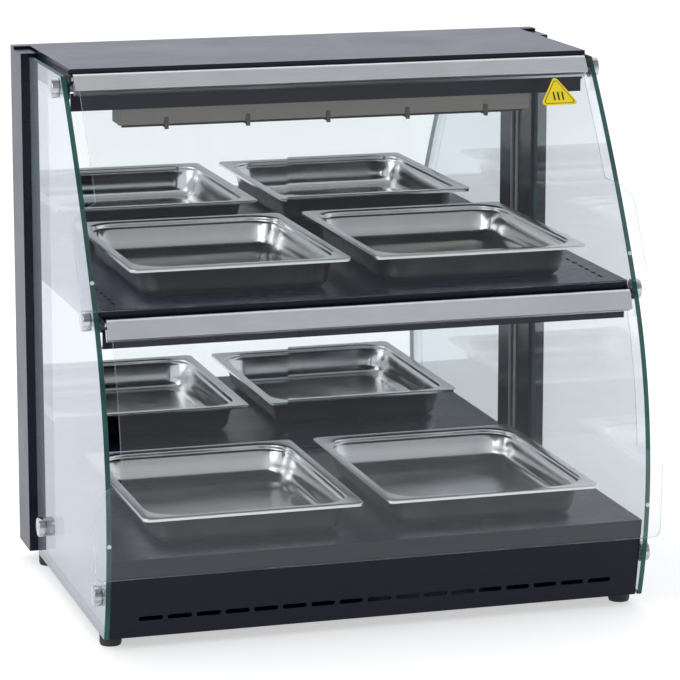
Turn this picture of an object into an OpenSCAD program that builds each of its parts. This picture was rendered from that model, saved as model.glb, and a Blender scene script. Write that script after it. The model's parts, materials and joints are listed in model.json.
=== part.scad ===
// Two-tier heated food display case: a steel base and mid shelf between two
// curved-front side glasses, a rear frame with sliding mirror doors, and a
// lift-up curved glass flap in front of each tier. X runs across the case,
// Y from front to back and Z up. The origin is on the ground, in the middle.

/* [Body] */
// Width of the deck
deck_w = 647; // [560:1:760]
// Width of the mid shelf and of the roof
shelf_w = 640; // [550:1:750]
// Depth from the front edge of the deck to the back of the rear posts
body_d = 460; // [440:1:560]
// Height of the deck above the ground
deck_z = 112; // [105:1:130]
// Height of the mid shelf above the ground
shelf_z = 394; // [380:1:400]
// Height of the roof above the ground
roof_z = 651; // [645:1:660]
// Height of the feet
foot_h = 15; // [12:1:20]
// Thickness of the steel sheet
sheet = 1.5; // [1:0.1:2]

/* [Front curve] */
// Radius of the front curve up to the mid shelf
curve_r = 510; // [500:1:530]
// Distance of that curve's centre behind the front edge of the deck
curve_y = 503; // [495:1:520]
// Height of that curve's centre
curve_z = 161; // [150:1:170]
// Radius of the flatter curve above the mid shelf
upper_r = 1600; // [1400:10:2000]

/* [Glass] */
// Thickness of the side glasses
side_t = 6; // [5:0.5:8]
// Thickness of the flap glass
flap_t = 5; // [4:0.5:6]
// Width of the narrow upper part of a flap
flap_neck_w = 624; // [600:1:630]
// Width of a flap across its two ears
flap_ear_w = 688; // [676:1:700]
// Height of the ears
ear_h = 112; // [90:1:130]
// How far the lower flap hangs below the deck
flap_drop = 21; // [10:1:30]
// Diameter of the glass fixing caps
cap_d = 24; // [18:1:28]

/* [Rear frame] */
// Width of a rear post
post_w = 21; // [18:1:30]
// Depth of a rear post
post_d = 65; // [60:1:80]
// Thickness of the sliding mirror doors
door_t = 4; // [3:0.5:4]
// Width of each sliding door
door_w = 330; // [325:1:340]

/* [Pans] */
// Width of a pan across its rim
pan_w = 265; // [200:1:270]
// Length of a pan from front to back
pan_l = 325; // [250:1:330]
// Height of a pan
pan_h = 40; // [20:1:65]
// Gap between two pans side by side
pan_gap = 28; // [20:1:40]

/* [Vents] */
// Number of slots in the front fascia
slot_n = 17; // [5:1:17]
// Length of a fascia slot
slot_l = 29; // [20:1:29]
// Pitch of the fascia slots
slot_pitch = 34.4; // [32:0.1:34.4]

/* [Hidden] */
$fn = 48;
air = 0.3;                                   // gap left between loose parts
knob_out = 17;                               // how far the knob stands out behind
front_out = curve_r + 1 + flap_t - curve_y;  // flap in front of the deck edge
y_mid = (body_d + knob_out - front_out) / 2; // middle of the depth
deck_x = deck_w / 2;
shelf_x = shelf_w / 2;
glass_x = deck_x + 1;                        // inner face of the side glasses
post_x = shelf_x;                            // inner face of the posts
post_y = body_d - post_d;                    // front face of the posts
foot_x = deck_x - 8.5;
FOOT_Y = [50, 402];
post_z0 = foot_h + 5;
post_z1 = roof_z - 5;
fascia_in = 18;                              // fascia leans back by this much
fascia_a = atan(fascia_in / (deck_z - foot_h));
shelf_y = 52;                                // front lip of the shelf
roof_y = 205;                                // front lip of the roof
skirt_y = roof_y + 8.2;
shelf_t = 28;                                // thickness of the shelf box
ceiling_z = roof_z - 24;
track_y = body_d - 14;                       // front face of the door tracks
door_y = [track_y + 2, body_d - 6];          // front faces of the doors
track_h = 12;

// Centre of the upper curve, so that the two curves meet without a kink.
join_y = curve_y - sqrt(pow(curve_r, 2) - pow(shelf_z - curve_z, 2));
upper_y = join_y + (curve_y - join_y) * upper_r / curve_r;
upper_z = shelf_z - (shelf_z - curve_z) * upper_r / curve_r;

// Flap hinges: the axis lies just outside the glass edge, near each rail's top.
rail_x = 317.5;                              // half length of a rail
rail_r = 6.2;                                // half thickness of a rail
rail_drop = 19;                              // rail below its axis
glass_off = 1;                               // flap glass in front of side glass
axis_off = 2;
low_axis_z = shelf_z - 14.7;
up_axis_z = roof_z - 11.7;
low_axis_y = curve_y - sqrt(pow(curve_r + axis_off, 2) - pow(low_axis_z - curve_z, 2));
up_axis_y = upper_y - sqrt(pow(upper_r + axis_off, 2) - pow(up_axis_z - upper_z, 2));
low_lean = asin((low_axis_z - rail_drop / 2 - curve_z) / curve_r);
up_lean = asin((up_axis_z - rail_drop / 2 - upper_z) / upper_r);
pin_d = 5;
pin_fit = 0.05;                              // radial running clearance
bracket_x = shelf_x;
bracket_t = 3.7;

// Glass fixings, as [y, z] on each side glass.
FIXINGS = [[220, roof_z - 23], [66, shelf_z - 14], [26, 66], [345, 64]];
bolt_d = 6;

pan_x = (pan_w + pan_gap) / 2;
low_pan_y = 25;
up_pan_y = 76;
pan_t = 0.8;

lamp_x = 255;                                // half length of the lamp housing
lamp_y = 226;
lamp_d = 42;
lamp_z = ceiling_z - 48;

// The loom's run at the back, and where it drops into the lamp housing.
loom_y = 423.5;
loom_z = ceiling_z + 10;
drop_x = 240;
drop_y = lamp_y + lamp_d / 2;

// Rear controls, left to right as seen from behind.
inlet_x = -240;
power_x = -150;
light_x = -110;
pilot_x = -70;
knob_x = 40;
control_z = 60;
screw_x = 306;
SCREW_Z = [28, 88];

anthracite = "dimgray";
steel = "silver";

// ---- helpers ----

// Everything is drawn from the front edge of the deck, then centred.
module placed(tint) {
    color(tint) translate([0, -y_mid, 0]) children();
}

// Block from one corner to the opposite one.
module block(a, b) {
    translate(a) cube(b - a);
}

// Block of half width x that reaches from y0 to y1 and from z0 to z1.
module slab(x, y0, y1, z0, z1) {
    block([-x, y0, z0], [x, y1, z1]);
}

// Draws its children on the right and, mirrored, on the left.
module both_sides() {
    children();
    mirror([1, 0, 0]) children();
}

// Outline in Y and Z, pushed out along X from x0 to x1.
module along_x(x0, x1) {
    translate([x0, 0, 0]) rotate([90, 0, 90]) linear_extrude(x1 - x0) children();
}

// Rod along X, along Y or along Z.
module rod_x(d, x0, x1, y, z) {
    translate([x0, y, z]) rotate([0, 90, 0]) cylinder(d = d, h = x1 - x0);
}

module rod_y(d, x, y0, y1, z) {
    translate([x, y0, z]) rotate([-90, 0, 0]) cylinder(d = d, h = y1 - y0);
}

module rod_z(d, x, y, z0, z1) {
    translate([x, y, z0]) cylinder(d = d, h = z1 - z0);
}

// Rectangle about the origin with round corners.
module round_rect(w, l, r) {
    square([w - 2 * r, l], center = true);
    square([w, l - 2 * r], center = true);
    for (sx = [-1, 1], sy = [-1, 1]) translate([sx * (w / 2 - r), sy * (l / 2 - r)]) circle(r);
}

// Everything behind the front curve, moved outwards by off.
module behind_curve(off) {
    intersection() {
        translate([curve_y, curve_z]) circle(curve_r + off, $fn = 360);
        translate([-50, 0]) square([460, shelf_z]);
    }
    intersection() {
        translate([upper_y, upper_z]) circle(upper_r + off, $fn = 720);
        translate([-50, shelf_z]) square([460, roof_z - shelf_z + 20]);
    }
}

// ---- base ----

module base_tray() placed(anthracite) difference() {
    union() {
        slab(deck_x, fascia_in + 1.6, body_d - sheet, foot_h, foot_h + sheet);
        both_sides() {
            along_x(deck_x - sheet, deck_x) polygon([
                [fascia_in + 1.6, foot_h], [post_y - air, foot_h],
                [post_y - air, deck_z - sheet], [1.9, deck_z - sheet]]);
            block([post_x - 24, body_d - 2 * sheet, foot_h], [post_x, body_d - sheet, 96]);
        }
    }
    both_sides() {
        block([post_x, post_y - air, 0], [deck_x + 1, body_d, deck_z]);
        for (f = FIXINGS) if (f[1] < deck_z) rod_x(bolt_d, deck_x - 5, deck_x + 1, f[0], f[1]);
        for (y = FOOT_Y) rod_z(5, foot_x, y, foot_h - 1, foot_h + 5);
        for (z = SCREW_Z) rod_y(4, screw_x, body_d - 5, body_d, z);
    }
    for (i = [-3 : 3], y = [120, 200, 280]) translate([i * 60, y, foot_h - 1])
        linear_extrude(5) round_rect(40, 6, 2.9);
}

module fascia_slots() {
    for (i = [0 : slot_n - 1])
        translate([(i - (slot_n - 1) / 2) * slot_pitch, 0, 38])
            rotate([90, 0, 0]) translate([0, 0, -40]) linear_extrude(60) round_rect(slot_l, 5.5, 2.7);
}

module front_fascia() placed(anthracite) difference() {
    along_x(-deck_x, deck_x) polygon([
        [0.3, deck_z - sheet], [fascia_in, foot_h], [fascia_in + 1.6, foot_h], [1.9, deck_z - sheet]]);
    fascia_slots();
}

module deck_plate() placed(anthracite) difference() {
    slab(deck_x, 0, track_y, deck_z - sheet, deck_z);
    both_sides() block([post_x, post_y - air, 0], [deck_x + 1, body_d, roof_z]);
}

// Tubular element bent into four runs under the deck.
module deck_heater() placed(steel) {
    d = 8;
    z = deck_z - sheet - d / 2;
    runs = [90, 170, 250, 330];
    for (y = runs) rod_x(d, -200, 200, y, z);
    for (i = [0 : 2]) translate([(i % 2 == 0 ? 1 : -1) * 200, runs[i] + 40, z])
        rotate([0, 0, i % 2 == 0 ? -90 : 90]) rotate_extrude(angle = 180)
            translate([40, 0]) circle(d = d);
    for (y = [runs[0], runs[3]]) rod_x(4, -215, -200, y, z);
}

module heat_shield() placed(steel) difference() {
    union() {
        slab(deck_x - sheet, 40, 390, 74, 74.8);
        both_sides() block([deck_x - sheet - 0.8, 40, 74], [deck_x - sheet, 390, 90]);
    }
    for (x = [-150, 0, 150], y = [130, 290]) rod_z(6, x, y, 70, 80);
}

module rear_panel() placed(anthracite) difference() {
    union() {
        slab(post_x, body_d - sheet, body_d, foot_h, deck_z - track_h);
        slab(post_x, track_y, body_d - sheet, deck_z - track_h - sheet, deck_z - track_h);
    }
    rod_y(10.4, knob_x, body_d - 10, body_d + 1, control_z);
    for (x = [power_x, light_x])
        block([x - 9.6, body_d - 5, control_z - 13.6], [x + 9.6, body_d + 1, control_z + 13.6]);
    rod_y(10, pilot_x, body_d - 5, body_d + 1, control_z);
    block([inlet_x - 14, body_d - 5, control_z - 12], [inlet_x + 14, body_d + 1, control_z + 12]);
    for (x = [130 : 14 : 270]) translate([x, body_d + 1, control_z]) rotate([90, 0, 0])
        linear_extrude(5) round_rect(6, 48, 2.9);
    both_sides() for (z = SCREW_Z) rod_y(4, screw_x, body_d - 5, body_d + 1, z);
}

module thermostat() placed("beige") {
    slab_y = body_d - sheet;
    block([knob_x - 18, slab_y - 30, control_z - 18], [knob_x + 18, slab_y - 4, control_z + 18]);
    difference() {
        rod_y(18, knob_x, slab_y - 4, slab_y, control_z);
        rod_y(6.1, knob_x, slab_y - 5, slab_y + 1, control_z);
    }
}

module switch_housings() placed("black") for (x = [power_x, light_x]) difference() {
    union() {
        block([x - 9.4, body_d - 24, control_z - 13.4], [x + 9.4, body_d, control_z + 13.4]);
        block([x - 11.5, body_d, control_z - 15.5], [x + 11.5, body_d + 1.6, control_z + 15.5]);
    }
    block([x - 7.5, body_d - 9, control_z - 11.5], [x + 7.5, body_d + 3, control_z + 11.5]);
    rod_x(3.1, x - 8.6, x + 8.6, body_d - 2, control_z);
}

module rocker(x) placed("firebrick") {
    axis_y = body_d - 2;
    along_x(x - 7.1, x + 7.1) polygon([
        [axis_y - 4, control_z - 7], [axis_y + 1.6, control_z - 10.6], [axis_y + 5.5, control_z - 10.2],
        [axis_y + 3.2, control_z], [axis_y + 5.5, control_z + 10.2], [axis_y + 1.6, control_z + 10.6],
        [axis_y - 4, control_z + 7]]);
    rod_x(3, x - 8.4, x + 8.4, axis_y, control_z);
}

module power_rocker() rocker(power_x);

module light_rocker() rocker(light_x);

module pilot_lamp() placed("orange") {
    rod_y(9.8, pilot_x, body_d - 20, body_d, control_z);
    rod_y(13, pilot_x, body_d, body_d + 2, control_z);
    rod_y(9, pilot_x, body_d + 2, body_d + 4, control_z);
}

module power_inlet() placed("black") difference() {
    union() {
        block([inlet_x - 13.8, body_d - 26, control_z - 11.8], [inlet_x + 13.8, body_d, control_z + 11.8]);
        block([inlet_x - 25, body_d, control_z - 15], [inlet_x + 25, body_d + 2.5, control_z + 15]);
    }
    difference() {
        block([inlet_x - 12, body_d - 16, control_z - 8.5], [inlet_x + 12, body_d + 4, control_z + 8.5]);
        for (dx = [-7, 0, 7]) block([inlet_x + dx - 1, body_d - 17, control_z + (dx == 0 ? 2 : -2) - 2],
            [inlet_x + dx + 1, body_d - 1, control_z + (dx == 0 ? 2 : -2) + 2]);
    }
    for (dx = [-20, 20]) rod_y(3.4, inlet_x + dx, body_d - 1, body_d + 3, control_z);
}

module thermostat_knob() placed("black") difference() {
    union() {
        rod_y(38, knob_x, body_d + 1, body_d + 5, control_z);
        rod_y(30, knob_x, body_d + 5, body_d + knob_out, control_z);
        rod_y(6, knob_x, body_d - 4, body_d + 1, control_z);
    }
    block([knob_x - 1, body_d + knob_out - 1, control_z + 4],
        [knob_x + 1, body_d + knob_out + 1, control_z + 16]);
    for (a = [0 : 30 : 330]) translate([knob_x, 0, control_z]) rotate([0, a + 15, 0])
        rod_y(4, 16.2, body_d + 5, body_d + knob_out + 1, 0);
}

module terminal_block() placed("ivory") difference() {
    block([-295, 415, foot_h + sheet], [-255, 432, foot_h + sheet + 16]);
    for (x = [-290 : 10 : -260]) rod_z(5, x, 423.5, foot_h + sheet + 8, foot_h + sheet + 20);
}

// Loom from the terminal block up the left post, over the ceiling and down to the lamp.
module wiring_loom() placed("darkred") {
    d = 6;
    x = -post_x - 10;
    z = foot_h + 14;
    rod_x(d, x, -295, loom_y, z);
    rod_z(d, x, loom_y, z, loom_z);
    rod_x(d, x, -drop_x, loom_y, loom_z);
    rod_y(d, -drop_x, drop_y, loom_y, loom_z);
    rod_z(d, -drop_x, drop_y, lamp_z + 28, loom_z);
    for (p = [[x, loom_y, z], [x, loom_y, loom_z], [-drop_x, loom_y, loom_z], [-drop_x, drop_y, loom_z]])
        translate(p) sphere(d = d);
}

module feet() placed("black") both_sides() for (y = FOOT_Y)
    translate([foot_x, y, 0]) difference() {
        union() {
            cylinder(d1 = 24, d2 = 26, h = 3);
            translate([0, 0, 3]) cylinder(d = 26, h = foot_h - 3);
        }
        translate([0, 0, -1]) cylinder(d = 12, h = 7);
        cylinder(d = 5, h = foot_h + 1);
    }

module foot_screws() placed(steel) both_sides() for (y = FOOT_Y)
    translate([foot_x, y, 0]) {
        translate([0, 0, 2]) cylinder(d = 9, h = 4);
        translate([0, 0, 6]) cylinder(d = 5, h = foot_h + 4);
        translate([0, 0, foot_h + sheet]) difference() {
            cylinder(d = 9, h = 4, $fn = 6);
            translate([0, 0, -1]) cylinder(d = 5, h = 6);
        }
    }

// ---- rear frame ----

module post() placed(anthracite) difference() {
    block([post_x, post_y, post_z0], [post_x + post_w, body_d, post_z1]);
    block([post_x + sheet, post_y + sheet, post_z0 - 1],
        [post_x + post_w - sheet, body_d - sheet, post_z1 + 1]);
    for (z = [foot_h + 14, loom_z]) rod_x(9, post_x - 1, post_x + sheet + 1, loom_y, z);
}

module right_post() post();

module left_post() mirror([1, 0, 0]) post();

module post_caps() placed("black") both_sides() {
    block([post_x, post_y, post_z1], [post_x + post_w, track_y - 5, post_z1 + 1.5]);
    block([post_x + sheet + 0.1, post_y + sheet + 0.1, post_z1 - 4],
        [post_x + post_w - sheet - 0.1, track_y - 12, post_z1]);
}

module top_rail() placed(anthracite) difference() {
    union() {
        slab(post_x, track_y - 5, body_d, ceiling_z, roof_z);
        slab(post_x + post_w, track_y - 5, body_d, post_z1, roof_z);
    }
    slab(post_x - 2, track_y - 5 + sheet, body_d - sheet, ceiling_z - 1, roof_z - sheet);
}

module mid_rail() placed(anthracite) difference() {
    slab(post_x, track_y, body_d, shelf_z - shelf_t, shelf_z - track_h);
    slab(post_x + 1, track_y + sheet, body_d - sheet, shelf_z - shelf_t + sheet,
        shelf_z - track_h - sheet);
}

// Twin channel, open to the top, in which two doors run side by side.
module track(z) {
    difference() {
        slab(post_x, track_y, body_d, z, z + track_h);
        for (y = door_y) slab(post_x + 1, y - 0.7, y + door_t + 0.7, z + 2, z + track_h + 1);
    }
}

module door_bottom_tracks() placed("gray") for (z = [deck_z, shelf_z]) track(z - track_h);

module door_top_tracks() placed("gray") for (z = [shelf_z - shelf_t, ceiling_z])
    translate([0, 0, 2 * z - track_h]) mirror([0, 0, 1]) track(z - track_h);

module door_buffers() placed("whitesmoke") both_sides() {
    block([post_x - 2.5, track_y - 2.5, deck_z], [post_x, track_y, shelf_z - shelf_t - track_h]);
    block([post_x - 2.5, track_y - 2.5, shelf_z], [post_x, track_y, ceiling_z - track_h]);
}

// Mirror door; the finger recess is milled into its back.
module door(x0, y, z0, z1, grip_x) placed("gainsboro") difference() {
    block([x0, y, z0], [x0 + door_w, y + door_t, z1]);
    translate([grip_x, y + door_t + 1, (z0 + z1) / 2]) rotate([90, 0, 0]) linear_extrude(3.2)
        round_rect(26, 80, 12.9);
}

module tier_door(side, y, floor_z, roof) {
    door(side < 0 ? -post_x + 0.6 : post_x - 0.6 - door_w, y, floor_z - track_h + 2.5, roof + track_h - 4,
        side * (post_x - 28));
}

module upper_left_door() tier_door(-1, door_y[0], shelf_z, ceiling_z - track_h);

module upper_right_door() tier_door(1, door_y[1], shelf_z, ceiling_z - track_h);

module lower_left_door() tier_door(-1, door_y[0], deck_z, shelf_z - shelf_t - track_h);

module lower_right_door() tier_door(1, door_y[1], deck_z, shelf_z - shelf_t - track_h);

// ---- roof ----

module roof_panel() placed(anthracite) difference() {
    union() {
        slab(shelf_x, roof_y, track_y - 5, roof_z - sheet, roof_z);
        slab(shelf_x, roof_y, roof_y + sheet, roof_z - 5, roof_z);
        both_sides() block([shelf_x - sheet, roof_y + 8, ceiling_z - 12], [shelf_x, post_y - air, roof_z]);
    }
    both_sides() {
        block([post_x, post_y - air, 0], [post_x + 5, body_d, post_z1 + 1.8]);
        rod_x(bolt_d, shelf_x - 5, shelf_x + 1, FIXINGS[0][0], FIXINGS[0][1]);
    }
}

// Room for the nuts of the upper glass fixings.
module nut_notch() both_sides() block([shelf_x - 11, 200, roof_z - 30], [shelf_x, 228, roof_z - 16]);

module ceiling_panel() placed(anthracite) difference() {
    slab(shelf_x - sheet, skirt_y + sheet, track_y - 5, ceiling_z - sheet, ceiling_z);
    rod_z(9, -drop_x, drop_y, ceiling_z - 5, ceiling_z + 5);
    nut_notch();
}

module skirt(y, z0, z1) placed(anthracite) union() {
    slab(shelf_x - 2, y, y + sheet, z0, z1);
    slab(shelf_x - 2, y, y + 8, z0, z0 + sheet);
}

module roof_skirt() difference() {
    skirt(skirt_y, roof_z - 51, roof_z - sheet);
    placed(anthracite) nut_notch();
}

module lamp_housing() placed(steel) difference() {
    slab(lamp_x, lamp_y, lamp_y + lamp_d, lamp_z, ceiling_z - sheet);
    slab(lamp_x + 1, lamp_y + 1.2, lamp_y + lamp_d - 1.2, lamp_z - 1, lamp_z + 24);
    slab(lamp_x + 1, lamp_y + 1.2, lamp_y + lamp_d - 1.2, lamp_z + 25.2, ceiling_z - sheet - 1.2);
    rod_z(9, -drop_x, drop_y, ceiling_z - 5, ceiling_z + 1);
}

module lamp_end_caps() placed(steel) both_sides()
    along_x(lamp_x, lamp_x + 1.2) polygon([
        [lamp_y, lamp_z], [lamp_y + lamp_d, lamp_z], [lamp_y + lamp_d, ceiling_z - sheet],
        [lamp_y, ceiling_z - sheet]]);

module lamp_holders() placed("ivory") both_sides() difference() {
    block([lamp_x - 26, lamp_y + 12, lamp_z + 4], [lamp_x - 6, lamp_y + lamp_d - 12, lamp_z + 24]);
    rod_x(10, lamp_x - 27, lamp_x - 14, lamp_y + lamp_d / 2, lamp_z + 11);
}

module quartz_tube() placed("white")
    rod_x(10, -lamp_x + 14, lamp_x - 14, lamp_y + lamp_d / 2, lamp_z + 11);

// Wire guard: two long wires on cross wires that hang from flat clips.
module lamp_guard() placed(steel) {
    for (y = [lamp_y + 12, lamp_y + lamp_d - 12]) rod_x(2.4, -lamp_x + 3, lamp_x - 3, y, lamp_z - 3);
    for (x = [-200 : 100 : 200]) {
        rod_y(2, x, lamp_y - 0.7, lamp_y + lamp_d + 0.7, lamp_z - 4.4);
        for (y = [lamp_y - 1.4, lamp_y + lamp_d])
            block([x - 2.5, y, lamp_z - 6.2], [x + 2.5, y + 1.4, lamp_z + 8]);
    }
}

// ---- mid shelf ----

module shelf_slots() {
    for (i = [0 : 5]) both_sides() translate([shelf_x - 22, shelf_y + 34 + i * 22, shelf_z - 3])
        linear_extrude(5) round_rect(4, 14, 1.9);
}

module shelf_panel() placed(anthracite) difference() {
    union() {
        slab(shelf_x, shelf_y, track_y, shelf_z - sheet, shelf_z);
        slab(shelf_x, shelf_y, shelf_y + sheet, shelf_z - 8, shelf_z);
        both_sides() block([shelf_x - sheet, shelf_y + 4, shelf_z - shelf_t + sheet],
            [shelf_x, post_y - air, shelf_z]);
    }
    both_sides() {
        block([post_x, post_y - air, 0], [post_x + 5, body_d, roof_z]);
        rod_x(bolt_d, shelf_x - 5, shelf_x + 1, FIXINGS[1][0], FIXINGS[1][1]);
    }
    shelf_slots();
}

module shelf_underpan() placed(anthracite)
    slab(shelf_x, shelf_y + 12, track_y, shelf_z - shelf_t, shelf_z - shelf_t + sheet);

module shelf_skirt() skirt(shelf_y + 4, shelf_z - 46, shelf_z - sheet);

module shelf_heater() placed("orange") slab(270, 90, 400, shelf_z - sheet - 2.5, shelf_z - sheet);

// ---- side glasses and their fixings ----

module side_glass() placed("lightcyan") difference() {
    along_x(glass_x, glass_x + side_t) intersection() {
        behind_curve(0);
        translate([-50, foot_h + 1]) square([post_y - 0.5 + 50, roof_z - 9 - foot_h]);
    }
    for (f = FIXINGS) rod_x(bolt_d + 1, glass_x - 1, glass_x + side_t + 1, f[0], f[1]);
}

module right_side_glass() side_glass();

module left_side_glass() mirror([1, 0, 0]) side_glass();

module glass_caps() placed(steel) both_sides() for (f = FIXINGS)
    translate([glass_x + side_t, f[0], f[1]]) rotate([0, 90, 0]) {
        cylinder(d = cap_d, h = 8.5);
        translate([0, 0, 8.5]) cylinder(d1 = cap_d, d2 = cap_d - 3, h = 1.5);
    }

module glass_bolts() placed(steel) both_sides() for (f = FIXINGS) {
    face = f[1] < deck_z ? deck_x - sheet : shelf_x - sheet;
    rod_x(bolt_d, face - 8, glass_x + side_t, f[0], f[1]);
    translate([face - 5, f[0], f[1]]) rotate([0, 90, 0]) difference() {
        cylinder(d = 11.5, h = 5, $fn = 6);
        translate([0, 0, -1]) cylinder(d = bolt_d, h = 7);
    }
}

module glass_spacers() placed("whitesmoke") both_sides() for (f = FIXINGS) {
    face = f[1] < deck_z ? deck_x : bracket_x + bracket_t;
    translate([face, f[0], f[1]]) rotate([0, 90, 0]) difference() {
        cylinder(d = 16, h = glass_x - face);
        translate([0, 0, -1]) cylinder(d = bolt_d, h = 10);
    }
}

// ---- flaps ----

// Front outline of a flap in X and Z: a narrow neck over a wide part with ears.
module flap_outline(z_top, z_bottom) {
    ear_z = z_bottom + ear_h;
    neck = flap_neck_w / 2;
    ear = flap_ear_w / 2;
    r = 8;
    half = concat(
        [[neck, z_top], [neck, ear_z + 4], [ear - 13, ear_z - 4], [ear, ear_z - 20]],
        [for (a = [0 : -15 : -90]) [ear - r + r * cos(a), z_bottom + r + r * sin(a)]]);
    polygon(concat(half, [for (i = [len(half) - 1 : -1 : 0]) [-half[i][0], half[i][1]]]));
}

module flap_glass(z_top, z_bottom) placed("lightcyan") intersection() {
    along_x(-flap_ear_w / 2 - 1, flap_ear_w / 2 + 1) difference() {
        behind_curve(glass_off + flap_t);
        behind_curve(glass_off);
    }
    translate([0, 300, 0]) rotate([90, 0, 0]) linear_extrude(400) flap_outline(z_top, z_bottom);
}

// Rail section about the hinge axis; the glass slot is open downwards.
module rail(axis_y, axis_z, lean) placed(steel) difference() {
    translate([0, axis_y, axis_z]) rotate([-lean, 0, 0]) along_x(-rail_x, rail_x) difference() {
        union() {
            circle(rail_r);
            translate([-rail_r, -rail_drop]) square([2 * rail_r, rail_drop]);
        }
        translate([-4.2, -rail_drop - 1]) square([5.4, 13]);
        circle(d = pin_d);
    }
}

module pins(axis_y, axis_z) placed(steel) both_sides()
    rod_x(pin_d, rail_x - 20, bracket_x + bracket_t - 0.3, axis_y, axis_z);

module flap_bumper(z) {
    r = z > shelf_z ? upper_r : curve_r;
    cy = z > shelf_z ? upper_y : curve_y;
    cz = z > shelf_z ? upper_z : curve_z;
    y = cy - sqrt(pow(r + glass_off, 2) - pow(z - cz, 2));
    lean = asin((z - cz) / r);
    both_sides() translate([glass_x + side_t / 2, y, z]) rotate([-90 - lean, 0, 0])
        translate([0, 0, 0.02]) cylinder(d = 5, h = 0.53);
}

module upper_flap_glass() flap_glass(up_axis_z - 6.6, shelf_z - 0.5);

module upper_flap_rail() rail(up_axis_y, up_axis_z, up_lean);

module upper_flap_pins() pins(up_axis_y, up_axis_z);

module upper_flap_bumpers() placed("white") flap_bumper(shelf_z + 30);

module lower_flap_glass() flap_glass(low_axis_z - 7.4, deck_z - flap_drop);

module lower_flap_rail() rail(low_axis_y, low_axis_z, low_lean);

module lower_flap_pins() pins(low_axis_y, low_axis_z);

module lower_flap_bumpers() placed("white") flap_bumper(deck_z + 20);

// Plate that carries the end of a rail; a glass fixing clamps it to the roof or the shelf.
module bracket(axis_y, axis_z, fixing) {
    both_sides() along_x(bracket_x, bracket_x + bracket_t) difference() {
        union() {
            translate([axis_y, axis_z]) circle(6);
            polygon([[axis_y, axis_z + 5.9], [fixing[0] - 4, axis_z + 5.9], [fixing[0] + 12, fixing[1] + 9],
                [fixing[0] + 12, fixing[1] - 10], [fixing[0] - 4, fixing[1] - 10], [axis_y, axis_z - 5.9]]);
        }
        translate([axis_y, axis_z]) circle(pin_d / 2 + pin_fit);
        translate(fixing) circle(d = bolt_d);
    }
}

module hinge_brackets() placed("black") {
    bracket(up_axis_y, up_axis_z, FIXINGS[0]);
    bracket(low_axis_y, low_axis_z, FIXINGS[1]);
}

// ---- pans ----

module pan(x, y, z) placed(steel) translate([x, y + pan_l / 2, z + air]) {
    rim = 11;
    difference() {
        union() {
            translate([0, 0, pan_h - pan_t]) linear_extrude(pan_t) round_rect(pan_w, pan_l, 16);
            linear_extrude(pan_h) round_rect(pan_w - 2 * rim, pan_l - 2 * rim, 26);
        }
        translate([0, 0, pan_t]) linear_extrude(pan_h)
            round_rect(pan_w - 2 * rim - 2 * pan_t, pan_l - 2 * rim - 2 * pan_t, 26 - pan_t);
    }
}

module upper_left_pan() pan(-pan_x, up_pan_y, shelf_z);

module upper_right_pan() pan(pan_x, up_pan_y, shelf_z);

module lower_left_pan() pan(-pan_x, low_pan_y, deck_z);

module lower_right_pan() pan(pan_x, low_pan_y, deck_z);

// ---- screws ----

module panel_screws() placed(steel) both_sides() for (z = SCREW_Z) translate([screw_x, 0, z]) {
    rod_y(4, 0, body_d - 12, body_d, 0);
    difference() {
        rod_y(8, 0, body_d, body_d + 2.2, 0);
        block([-3, body_d + 1.2, -0.6], [3, body_d + 3, 0.6]);
        block([-0.6, body_d + 1.2, -3], [0.6, body_d + 3, 3]);
    }
}

base_tray();
front_fascia();
deck_plate();
deck_heater();
heat_shield();
rear_panel();
thermostat();
switch_housings();
pilot_lamp();
power_inlet();
terminal_block();
wiring_loom();
feet();
foot_screws();
left_post();
right_post();
post_caps();
top_rail();
mid_rail();
door_top_tracks();
door_bottom_tracks();
door_buffers();
roof_panel();
ceiling_panel();
roof_skirt();
shelf_panel();
shelf_underpan();
shelf_skirt();
shelf_heater();
hinge_brackets();
left_side_glass();
right_side_glass();
glass_caps();
glass_bolts();
glass_spacers();
lamp_housing();
lamp_end_caps();
lamp_holders();
quartz_tube();
lamp_guard();
panel_screws();
upper_flap_glass();
upper_flap_rail();
upper_flap_pins();
upper_flap_bumpers();
lower_flap_glass();
lower_flap_rail();
lower_flap_pins();
lower_flap_bumpers();
upper_left_door();
upper_right_door();
lower_left_door();
lower_right_door();
upper_left_pan();
upper_right_pan();
lower_left_pan();
lower_right_pan();
thermostat_knob();
power_rocker();
light_rocker();
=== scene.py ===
"""Looks of a two-tier heated food display case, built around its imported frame."""

import json
import math

import bmesh
import bpy
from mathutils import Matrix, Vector


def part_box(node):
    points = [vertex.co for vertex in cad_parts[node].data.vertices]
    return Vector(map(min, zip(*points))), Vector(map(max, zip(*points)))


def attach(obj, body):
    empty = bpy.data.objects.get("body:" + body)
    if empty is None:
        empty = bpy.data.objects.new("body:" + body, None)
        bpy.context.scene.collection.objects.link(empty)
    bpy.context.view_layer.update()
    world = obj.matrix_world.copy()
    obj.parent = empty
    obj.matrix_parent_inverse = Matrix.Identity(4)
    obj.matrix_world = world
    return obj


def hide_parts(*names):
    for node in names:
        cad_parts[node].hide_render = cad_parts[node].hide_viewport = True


bl_info = {
    "name": "Heated Food Display Case",
    "version": (1, 0, 0),
    "blender": (4, 5, 0),
    "location": "View3D > Sidebar > Display Case",
    "description": "Builds the finishes, glass, pans and trim of a two-tier heated display case",
    "category": "Add Mesh",
}

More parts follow.
